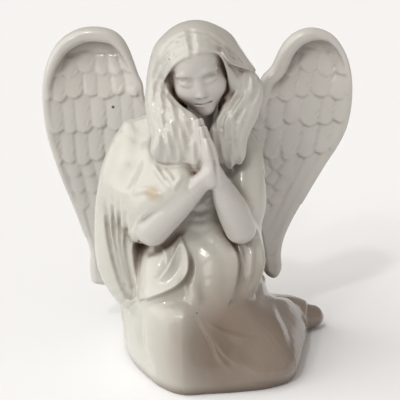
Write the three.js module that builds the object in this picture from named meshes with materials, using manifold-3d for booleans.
// A kneeling angel figurine, made the way cast figurines are: separate castings for the robe,
// the trunk, the head, the hair, the arms, the sleeves and the wings, which seat in each other
// with spigots, tenons and sockets. The robe, the lap and the trunk share one drained core,
// open at the foot, so that the wall is about as thick as a casting's.
// Millimetres, +Z up, the front of the figure towards -Y, the angel's own left towards +X.
import * as THREE from "three";
import { LoftGeometry } from "three/addons/geometries/LoftGeometry.js";
import { mergeVertices } from "three/addons/utils/BufferGeometryUtils.js";
import Module from "manifold-3d";

const wasm = await Module();
wasm.setup();

// Driving dimensions.
const SHOULDER_LEVEL = 126; // above the floor
const WAIST_LEVEL = 84;
const HEM_LEVEL = 45; // foot of the lap's drapery
const CROWN_LEVEL = 197.5; // top of the hair
const WING_THICK = 5; // feather sheet
const WING_BEVEL = 1.6; // rounding of the sheet's edge
const WING_REACH = 85; // from the middle to where the sheet's sweep ends
const ROOT_REACH = 14; // from the middle to where the sheet leaves the back
const WALL = 6; // cast wall of the robe, the lap and the trunk
const GAP = 0.3; // room between two castings
const RING_POINTS = 20; // around a large casting
const LIMB_POINTS = 12; // around an arm or a lock

const V = (x, y, z) => new THREE.Vector3(x, y, z);

// ---- Solids ----

// A closed geometry as a solid: shared vertices merged, collapsed triangles dropped.
function solidOf(geometry) {
  const bare = new THREE.BufferGeometry();
  bare.setAttribute("position", geometry.getAttribute("position").clone());
  if (geometry.index) bare.setIndex(geometry.index.clone());
  const merged = mergeVertices(bare, 1e-4);
  const corners = merged.index.array;
  const kept = [];
  for (let i = 0; i < corners.length; i += 3) {
    const [a, b, c] = [corners[i], corners[i + 1], corners[i + 2]];
    if (a !== b && b !== c && a !== c) kept.push(a, b, c);
  }
  const vertProperties = new Float32Array(merged.getAttribute("position").array);
  const mesh = new wasm.Mesh({ numProp: 3, vertProperties, triVerts: new Uint32Array(kept) });
  return new wasm.Manifold(mesh);
}

function geometryOf(solid) {
  const { vertProperties, triVerts } = solid.getMesh();
  const geometry = new THREE.BufferGeometry();
  geometry.setAttribute("position", new THREE.BufferAttribute(new Float32Array(vertProperties), 3));
  geometry.setIndex(new THREE.BufferAttribute(new Uint32Array(triVerts), 1));
  geometry.computeVertexNormals();
  return geometry;
}

const joined = (solids) => solids.reduce((a, b) => a.add(b));

function largestOf(solid) {
  return solid.decompose().reduce((a, b) => (b.volume() > a.volume() ? b : a));
}

// One ring of a loft: an ellipse about a centre, in the plane of two unit vectors.
function ellipseRing(centre, across, along, halfAcross, halfAlong, count) {
  return Array.from({ length: count }, (_, i) => {
    const turn = (i / count) * 2 * Math.PI;
    return centre
      .clone()
      .addScaledVector(across, halfAcross * Math.cos(turn))
      .addScaledVector(along, halfAlong * Math.sin(turn));
  });
}

function skin(rings) {
  return solidOf(new LoftGeometry(rings, { capStart: true, capEnd: true }));
}

// Values between the stations of a list of number rows, on one smooth curve.
function smoothRows(rows, count) {
  const width = rows[0].length;
  const curves = [];
  for (let k = 0; k < width; k += 3) {
    const points = rows.map((r) => V(r[k], r[k + 1] ?? 0, r[k + 2] ?? 0));
    curves.push(new THREE.CatmullRomCurve3(points));
  }
  return Array.from({ length: count }, (_, i) => {
    const t = i / (count - 1);
    return curves.flatMap((c) => c.getPoint(t).toArray()).slice(0, width);
  });
}

// An upright casting with level elliptical rings, from its foot up: rows of
// [x, y, z, half width, half depth].
function column(rows, count, grow = 0) {
  const rings = smoothRows(rows, count).map(([x, y, z, halfWidth, halfDepth]) =>
    ellipseRing(V(x, y, z), V(1, 0, 0), V(0, 1, 0), halfWidth + grow, halfDepth + grow, RING_POINTS),
  );
  return skin(rings);
}

// A limb with round ends along a path: rows of [x, y, z, half width, half thickness].
// The width lies as near to the direction `wide` as the path allows.
function limb(rows, count, wide = V(1, 0, 0), grow = 0) {
  const stations = smoothRows(rows, count);
  const path = new THREE.CatmullRomCurve3(stations.map(([x, y, z]) => V(x, y, z)));
  const rings = [];
  const addRing = (t, shift, share) => {
    const [x, y, z, halfWidth, halfThick] = stations[Math.round(t * (count - 1))];
    const tangent = path.getTangent(t);
    const across = wide.clone().addScaledVector(tangent, -wide.dot(tangent)).normalize();
    const up = V(0, 0, 0).crossVectors(tangent, across);
    const reach = Math.min(halfWidth, halfThick) + grow;
    const centre = V(x, y, z).addScaledVector(tangent, shift * reach);
    const [a, b] = [(halfWidth + grow) * share, (halfThick + grow) * share];
    rings.push(ellipseRing(centre, across, up, a, b, LIMB_POINTS));
  };
  const domeTurns = [80, 45].map(THREE.MathUtils.degToRad);
  for (const turn of domeTurns) addRing(0, -Math.sin(turn), Math.cos(turn));
  for (let i = 0; i < count; i++) addRing(i / (count - 1), 0, 1);
  for (const turn of domeTurns.toReversed()) addRing(1, Math.sin(turn), Math.cos(turn));
  return skin(rings);
}

// An ellipsoid, turned about its own centre by Euler angles in degrees.
function ellipsoid([x, y, z], [rx, ry, rz], turns = [0, 0, 0], grow = 0) {
  const geometry = new THREE.SphereGeometry(1, 18, 11);
  geometry.scale(rx + grow, ry + grow, rz + grow);
  const [ax, ay, az] = turns.map(THREE.MathUtils.degToRad);
  geometry.applyMatrix4(new THREE.Matrix4().makeRotationFromEuler(new THREE.Euler(ax, ay, az)));
  geometry.translate(x, y, z);
  return solidOf(geometry);
}

// ---- The robe's foot ----

// Where the robe meets the floor, as seen from above: a knee forward, the heels back to +X.
const FOOT_OUTLINE = [
  [-17, -54], [-12, -57], [2, -58.2], [15, -56.4], [26, -56], [41, -52], [54, -40], [60, -15], [63, 10],
  [58, 36], [40, 52], [10, 58], [-22, 54], [-42, 32], [-45, 4], [-37, -20], [-25, -42],
];
const FOOT_CENTRE = [9, -2];

// Rows of [height, centre x, centre y, share of the outline's size].
const ROBE_LEVELS = [
  [0, 9, -2, 0.97],
  [5, 9, -2, 0.995],
  [15, 8.5, -2, 1],
  [27, 3.5, -3, 0.93],
  [37, -1, -6, 0.82],
  [HEM_LEVEL, -3, -8, 0.74],
  [HEM_LEVEL + 5, -3, -8, 0.58],
];

const footCurve = new THREE.CatmullRomCurve3(
  FOOT_OUTLINE.map(([x, y]) => V(x - FOOT_CENTRE[0], y - FOOT_CENTRE[1], 0)),
  true,
);

// The outline at one level, drawn in by `inset`.
function robeRing([z, x, y, share], inset = 0) {
  return Array.from({ length: RING_POINTS * 2 }, (_, i) => {
    const q = footCurve.getPointAt(i / (RING_POINTS * 2)).multiplyScalar(share);
    q.setLength(q.length() - inset);
    return V(x + q.x, y + q.y, z);
  });
}

const robeMass = (grow = 0) => skin(ROBE_LEVELS.map((level) => robeRing(level, -grow)));

const SLOPE_FROM = 38; // across, from the middle
const SLOPE_LEVEL = 36; // of the slope over the middle of the floor
const SLOPE_TURN = THREE.MathUtils.degToRad(20);

// Behind the lap's left side the robe sinks towards the back: a block above that slope, or, for
// the core, one that stands off by a wall.
function robeSlope(wall = 0) {
  const block = new THREE.BoxGeometry(60, 200, 40);
  block.translate(SLOPE_FROM + 30, 0, 20);
  block.rotateX(-SLOPE_TURN);
  block.translate(-wall, 0, SLOPE_LEVEL - wall);
  return solidOf(block);
}

// The drained core: it follows the robe's wall at the foot, then rises through the lap.
function drainedCore() {
  const underFoot = [-1, ...ROBE_LEVELS[0].slice(1)];
  const lowRings = [underFoot, ...ROBE_LEVELS.slice(1, 4)].map((r) => robeRing(r, WALL));
  // Rows of [centre x, centre y, height, half width, half depth].
  const neckRings = [
    [-1, -9, 39, 22, 24],
    [-1, -10, 52, 20, 20],
    [0, -7, 72, 17, 15],
    [1, -1, 92, 15, 11],
    [0, 1, 108, 16, 10],
    [0, 2, 117, 12, 6],
  ];
  const startTurn = Math.atan2(FOOT_OUTLINE[0][1] - FOOT_CENTRE[1], FOOT_OUTLINE[0][0] - FOOT_CENTRE[0]);
  const across = V(Math.cos(startTurn), Math.sin(startTurn), 0);
  const along = V(-across.y, across.x, 0);
  const circle = ellipseRing(V(0, 0, 0), across, along, 1, 1, RING_POINTS * 2);
  const upperRings = neckRings.map(([x, y, z, halfWidth, halfDepth]) =>
    circle.map((p) => V(x + p.x * halfWidth, y + p.y * halfDepth, z)),
  );
  return skin([...lowRings, ...upperRings]).subtract(robeSlope(WALL));
}

// ---- Wings ----

// Each outline runs from the inner shoulder over the top, down the outer edge to the tip and back
// up the hidden inner edge, in the plane that faces the front. The rolled rim follows it from its
// first point on, with the radii listed.
const RIGHT_WING = {
  outline: [
    [-30, 143], [-31.4, 152.2], [-33.7, 157.3], [-36.4, 165.2], [-38.9, 171.9], [-42, 177.4], [-46, 181.2],
    [-51, 183.2], [-57.2, 184], [-64, 183.5], [-70.2, 181.4], [-76.5, 177.3], [-81.1, 171.7], [-84.6, 164.4],
    [-86.9, 156.3], [-87.9, 148.2], [-87.9, 138.2], [-86.5, 124.5], [-83.5, 111.1], [-78.3, 93.7],
    [-72.4, 77.2], [-66.4, 58.8], [-63.5, 48], [-64, 37.6], [-62.8, 28.6], [-57.6, 26.6], [-53.5, 28.2],
    [-46, 42.4], [-39.7, 57], [-22, 88], [-10, 118], [-16, 136],
  ],
  rimRadii: [1, 1.2, 1.5, 2, 2.6, 3.2, 3.6, 3.9, 4, 4, 4, 3.8, 3.4, 3, 2.6, 2.2, 1.9, 1.6, 1.5, 1.4],
};
const LEFT_WING = {
  outline: [
    [32.5, 137], [34.8, 149], [36.8, 156.2], [42.1, 161.9], [46.5, 171.4], [50.4, 177], [54.9, 180.8],
    [60, 182.9], [65.1, 183.4], [71.3, 182], [77, 178.5], [81.7, 172.3], [85.2, 164.5], [87.2, 155.2],
    [87.7, 145.2], [86.9, 134.6], [84.6, 124.4], [79.9, 113.9], [74.4, 104.5], [68.3, 93.2], [61.1, 79.6],
    [54.8, 67.2], [50.6, 56.1], [49.3, 46.5], [49.8, 38.1], [47.8, 32.7], [44.2, 31.7], [39.3, 36.5],
    [37.9, 47.6], [34, 66], [22, 90], [10, 118], [18, 134],
  ],
  rimRadii: [3, 3.6, 4, 4.2, 4.2, 4.2, 4.1, 3.9, 3.5, 2.8, 2.1, 1.6, 1.3, 1.2, 1.1, 1.1],
};
const OUTLINE_POINTS = 60;
const RIM_STATIONS = 24;
const TENON_HALF = [3, 7, 8]; // root block that seats in the back of the trunk
const TENON_AT = [15, 19, 116];

// How far back the sheet lies: it leaves the back, sweeps away and cups forward at the edge.
function wingDepth(x, z) {
  const out = THREE.MathUtils.clamp((Math.abs(x) - ROOT_REACH) / (WING_REACH - ROOT_REACH), 0, 1);
  const high = THREE.MathUtils.clamp((z - 110) / 75, -1, 1);
  return 23 + 12 * Math.sin(out * Math.PI * 0.62) - 3.5 * out * out + 2 * high * high;
}

function wing({ outline, rimRadii }, grow = 0) {
  const edge = new THREE.CatmullRomCurve3(outline.map(([x, z]) => V(x, z, 0)), true, "centripetal");
  const points = edge.getSpacedPoints(OUTLINE_POINTS).slice(0, -1).map((p) => new THREE.Vector2(p.x, p.y));
  const flatHalf = WING_THICK / 2 + grow - WING_BEVEL;
  const sheet = new THREE.ExtrudeGeometry(new THREE.Shape(points), {
    depth: 2 * flatHalf,
    bevelThickness: WING_BEVEL,
    bevelSize: WING_BEVEL,
    bevelOffset: grow - WING_BEVEL,
    bevelSegments: 1,
  });
  const position = sheet.getAttribute("position");
  for (let i = 0; i < position.count; i++) {
    const [x, z, forward] = [position.getX(i), position.getY(i), position.getZ(i) - flatHalf];
    position.setXYZ(i, x, wingDepth(x, z) - forward, z);
  }
  const side = Math.sign(outline[0][0]);
  const rimPath = rimRadii.map((radius, i) => {
    const [before, after] = [outline[Math.max(i - 1, 0)], outline[i + 1]];
    const inward = new THREE.Vector2(after[1] - before[1], before[0] - after[0]);
    inward.setLength(radius).multiplyScalar(side);
    const [x, z] = [outline[i][0] + inward.x, outline[i][1] + inward.y];
    return [x, wingDepth(x, z) - radius / 2, z, radius, radius];
  });
  const rim = limb(rimPath, RIM_STATIONS, V(0, 1, 0), grow);
  const tenon = new THREE.BoxGeometry(...TENON_HALF.map((h) => 2 * (h + grow)));
  tenon.translate(side * TENON_AT[0], TENON_AT[1], TENON_AT[2]);
  return joined([solidOf(sheet), rim, solidOf(tenon)]);
}

// ---- Head and hair ----

const HEAD_TURNS = [14, -12, 0]; // bowed forward, leaning to the angel's right

function head(grow = 0) {
  const cranium = ellipsoid([-2, -5, 174], [17, 18.5, 18.5], HEAD_TURNS, grow);
  const face = ellipsoid([0.5, -12, 162], [15.5, 16, 19], HEAD_TURNS, grow);
  const neck = limb([[3, -5, 150, 9, 9], [2, 0, 140, 9, 9], [1, 2, 127, 9, 8]], 5, V(1, 0, 0), grow);
  return joined([cranium, face, neck]);
}

const CAP_HALF = [25.5, 27, 26.3]; // half sizes of the hair over the skull

function hairCrown(grow = 0) {
  const cap = ellipsoid([-2, -1, CROWN_LEVEL - CAP_HALF[2]], CAP_HALF, [8, -6, 0], grow);
  const swell = ellipsoid([14, -1, 162], [20, 22, 22], [0, 14, 0], grow);
  return joined([cap, swell]);
}

// The oval that the hair frames, open to the front.
function faceOpening() {
  const opening = new THREE.SphereGeometry(1, 16, 10);
  opening.scale(13.5, 14, 20);
  opening.rotateY(THREE.MathUtils.degToRad(HEAD_TURNS[1]));
  opening.translate(0, -28, 162);
  return solidOf(opening);
}

// Rows of [x, y, z, half width, half thickness], from the top down.
const HAIR_BACK = [
  [-2, 14, 168, 23, 10],
  [-1, 20, 147, 24, 8.5],
  [0, 23.5, 126, 22, 8],
  [1, 25, 108, 17, 7],
  [2, 24.5, 92, 10, 5],
];
const RIGHT_LOCK = [
  [-21, -12, 168, 6, 8],
  [-20.5, -16, 154, 8, 8],
  [-17, -23, 141, 12, 8],
  [-12, -29, 128, 14, 6],
];
const LEFT_LOCK = [
  [23, -12, 172, 7, 8],
  [26.5, -13, 159, 9, 8],
  [26.5, -14, 146, 10, 8],
  [22.5, -19, 128, 10.5, 6.5],
];
const hair = (rows) => (grow = 0) => limb(rows, 8, V(1, 0, 0), grow);

// ---- Arms and sleeves ----

// A forearm and a flat hand: elbow, wrist and fingertips.
function arm(elbow, wrist, tips, grow = 0) {
  const middle = elbow.map((c, i) => (c + wrist[i]) / 2);
  const forearmRows = [[...elbow, 9.5, 9.5], [...middle, 8.6, 8.6], [...wrist, 5.2, 5]];
  const forearm = limb(forearmRows, 6, V(1, 0, 0), grow);
  const palm = wrist.map((c, i) => c + (tips[i] - c) * 0.45);
  const hand = limb([[...wrist, 3.4, 5], [...palm, 3, 5.6], [...tips, 2, 3.4]], 6, V(1, 0, 0), grow);
  return joined([forearm, hand]);
}

const rightArm = (grow = 0) => arm([-25, -32, 87], [4.4, -40.6, 119], [0.6, -35, 147], grow);
const leftArm = (grow = 0) => arm([23.5, -28.5, 87], [10.6, -39.5, 119], [4.2, -34, 147], grow);

function rightSleeve(grow = 0) {
  const upperRows = [[-22, 2, 128, 10, 12], [-31, -6, 112, 14, 14], [-30, -22, 90, 13, 13]];
  const upper = limb(upperRows, 6, V(1, 0, 0), grow);
  const bendRows = [[-26, -14, 116, 10, 10], [-17, -25, 114, 10, 10], [-9, -32, 116, 8, 8]];
  const bend = limb(bendRows, 5, V(1, 0, 0), grow);
  const drape = column(
    [
      [-36, -20, HEM_LEVEL - 7, 9, 11],
      [-40, -15, 52, 13, 15],
      [-43, -10, 72, 14.5, 17],
      [-43, -6, 96, 14, 15],
      [-37, -3, 116, 13, 12],
      [-28, 0, 130, 6, 7],
    ],
    10,
    grow,
  );
  return joined([upper, bend, drape]);
}

function leftSleeve(grow = 0) {
  const upperRows = [[19, 2, 129, 9, 11], [26, -5, 110, 10, 12], [26, -15, 89, 9.5, 11]];
  const upper = limb(upperRows, 6, V(1, 0, 0), grow);
  const drape = column(
    [
      [24, -27, HEM_LEVEL, 8, 9],
      [28, -22, 66, 8.5, 11],
      [28, -13, 88, 8, 12],
      [27, -6, 104, 4, 6],
    ],
    7,
    grow,
  );
  return joined([upper, drape]);
}

// ---- Trunk, lap and train ----

const trunk = (grow = 0) =>
  column(
    [
      [2, -3, WAIST_LEVEL, 24, 18],
      [1, -2, 100, 25, 17],
      [0, 0, 114, 28, 17],
      [-2, 2, SHOULDER_LEVEL, 30, 15],
      [-2, 2, SHOULDER_LEVEL + 8, 25, 12],
      [0, 1, SHOULDER_LEVEL + 16, 12, 9],
    ],
    9,
    grow,
  );

const lapDrape = (grow = 0) =>
  column(
    [
      [-2, -12, HEM_LEVEL, 35, 32],
      [-3, -11, 56, 34.5, 31],
      [-2, -8, 70, 31, 26],
      [1, -5, WAIST_LEVEL, 27, 20],
      [2, -4, WAIST_LEVEL + 7, 24, 18],
    ],
    7,
    grow,
  );

// The cloth trails out towards the back corner, and the toe shows beyond it.
const TRAIN = [
  [41, 12, 13, 12, 12],
  [50, 20, 12, 12, 11],
  [57, 27, 10.5, 10, 9.5],
];
const FOOT = [
  [57, 24, 9, 8, 8],
  [65, 29.5, 8.5, 8, 7.5],
  [70.5, 33, 7, 5.5, 5],
];
const towardsCorner = (rows) => (grow = 0) => limb(rows, 5, V(1, -1, 0).normalize(), grow);

// ---- Assembly ----

const GLAZES = {
  robe: { color: 0xe6e3da, roughness: 0.12 },
  skin: { color: 0xe4dfd8, roughness: 0.14 },
  hair: { color: 0xe2dfd6, roughness: 0.13 },
  feather: { color: 0xe2dcd6, roughness: 0.16 },
};

const core = drainedCore();
const notCut = (solid) => solid;
const cored = (solid) => solid.subtract(core);
const opened = (solid) => solid.subtract(faceOpening());
const sloped = (solid) => solid.subtract(core).subtract(robeSlope());

// In the order in which they keep their whole shape: each casting is cut back, with a gap, by
// all those before it, which leaves the sockets for tenons, spigots and wrists.
const CASTINGS = [
  ["right_wing", (g) => wing(RIGHT_WING, g), "feather", notCut],
  ["left_wing", (g) => wing(LEFT_WING, g), "feather", notCut],
  ["head", head, "skin", notCut],
  ["right_arm", rightArm, "skin", notCut],
  ["left_arm", leftArm, "skin", notCut],
  ["right_hair_lock", hair(RIGHT_LOCK), "hair", notCut],
  ["left_hair_lock", hair(LEFT_LOCK), "hair", notCut],
  ["hair_crown", hairCrown, "hair", opened],
  ["hair_back", hair(HAIR_BACK), "hair", notCut],
  ["right_sleeve", rightSleeve, "robe", notCut],
  ["left_sleeve", leftSleeve, "robe", notCut],
  ["trunk", trunk, "robe", cored],
  ["lap_drape", lapDrape, "robe", cored],
  ["left_foot", towardsCorner(FOOT), "skin", cored],
  ["robe_train", towardsCorner(TRAIN), "robe", cored],
  ["robe_skirt", robeMass, "robe", sloped],
];

const figurine = new THREE.Group();
let taken = null;
for (const [name, make, glaze, finish] of CASTINGS) {
  const whole = make(0);
  const solid = largestOf(finish(taken ? whole.subtract(taken) : whole));
  const mesh = new THREE.Mesh(
    geometryOf(solid),
    new THREE.MeshStandardMaterial({ ...GLAZES[glaze], metalness: 0 }),
  );
  mesh.name = name;
  figurine.add(mesh);
  const room = make(GAP);
  taken = taken ? taken.add(room) : room;
}

// The middle of the whole figure's box stands over the origin.
const middle = new THREE.Box3().setFromObject(figurine).getCenter(V(0, 0, 0));
for (const mesh of figurine.children) mesh.geometry.translate(-middle.x, -middle.y, 0);

export default figurine;
